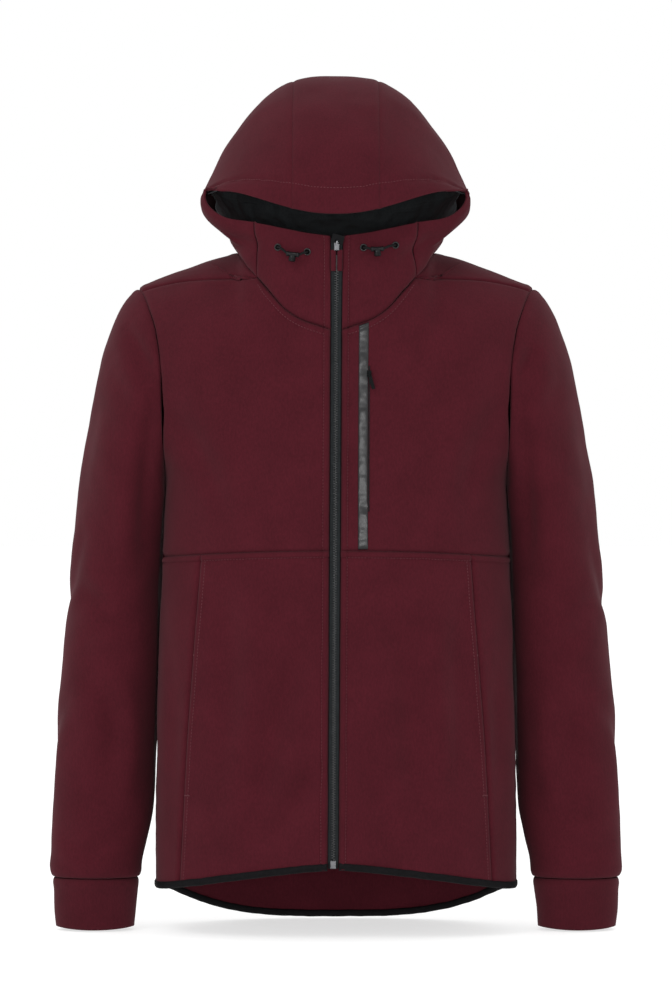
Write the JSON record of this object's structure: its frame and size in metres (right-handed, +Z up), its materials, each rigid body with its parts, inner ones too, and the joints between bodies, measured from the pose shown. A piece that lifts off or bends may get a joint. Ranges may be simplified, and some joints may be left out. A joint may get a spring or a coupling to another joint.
{
  "type": "zip up hoodie",
  "caption": "Hooded zip-up top in heavy knit, filled out as if worn, with drop tail hem, plain cuffs, chest pocket zip and hood drawcords.",
  "frame": {"origin": "on the middle plane of the body, level with the high points of the shoulders, where the wearer's shoulders hold the garment", "axes": "+Z up, -Y out of the front, +X towards the wearer's left"},
  "size_m": [0.616, 0.2759, 0.9174],
  "materials": {
    "cloth": "burgundy knit with a short soft nap",
    "cuff_cloth": "smooth burgundy knit",
    "lining": "dull black knit",
    "binding": "black folded stretch binding",
    "zip_tape": "woven black tape",
    "zip_coil": "moulded black teeth",
    "gloss_tape": "glossy black welded tape, wrinkled",
    "steel": "dark nickel plate",
    "pull": "satin dark paint",
    "eyelet": "black paint",
    "cord": "round black braid",
    "plastic": "black moulded plastic"
  },
  "bodies": {
    "hoodie": {"back": "cloth", "front_upper_L": "cloth", "front_upper_R": "cloth", "front_lower_L": "cloth", "front_lower_R": "cloth", "side_front_L": "cloth", "side_front_R": "cloth", "sleeve_L": "cloth", "sleeve_R": "cloth", "cuff_L": "cuff_cloth", "cuff_R": "cuff_cloth", "hood_centre": "cloth", "hood_side_L": "cloth", "hood_side_R": "cloth", "hood_chin_L": "cloth", "hood_chin_R": "cloth", "hood_lining": "lining", "hem_binding": "binding", "zip_tape_L": "zip_tape", "zip_tape_R": "zip_tape", "zip_coil": "zip_coil", "zip_garage_L": "cloth", "zip_garage_R": "cloth", "zip_box": "steel", "zip_slider": "steel", "chest_tape": "gloss_tape", "chest_zip": "zip_coil", "chest_slider": "steel", "eyelet_L_0": "eyelet", "eyelet_L_1": "eyelet", "eyelet_R_0": "eyelet", "eyelet_R_1": "eyelet", "drawcord_L": "cord", "drawcord_R": "cord", "cord_lock_L": "plastic", "cord_lock_R": "plastic"},
    "zip_pull": {"zip_pull": "pull"},
    "chest_pull": {"chest_pull": "pull"}
  },
  "joints": [
    {"name": "zip_pull_swing", "type": "hinge", "parent": "hoodie", "child": "zip_pull", "pos_m": [0.00076, -0.12739, 0.00011], "axis": [0.9644, 0.0249, -0.2631], "range_deg": [0, 150]},
    {"name": "chest_pull_swing", "type": "hinge", "parent": "hoodie", "child": "chest_pull", "pos_m": [0.0351, -0.12016, -0.13729], "axis": [0.9632, 0.0415, 0.2655], "range_deg": [-150, 0]}
  ]
}
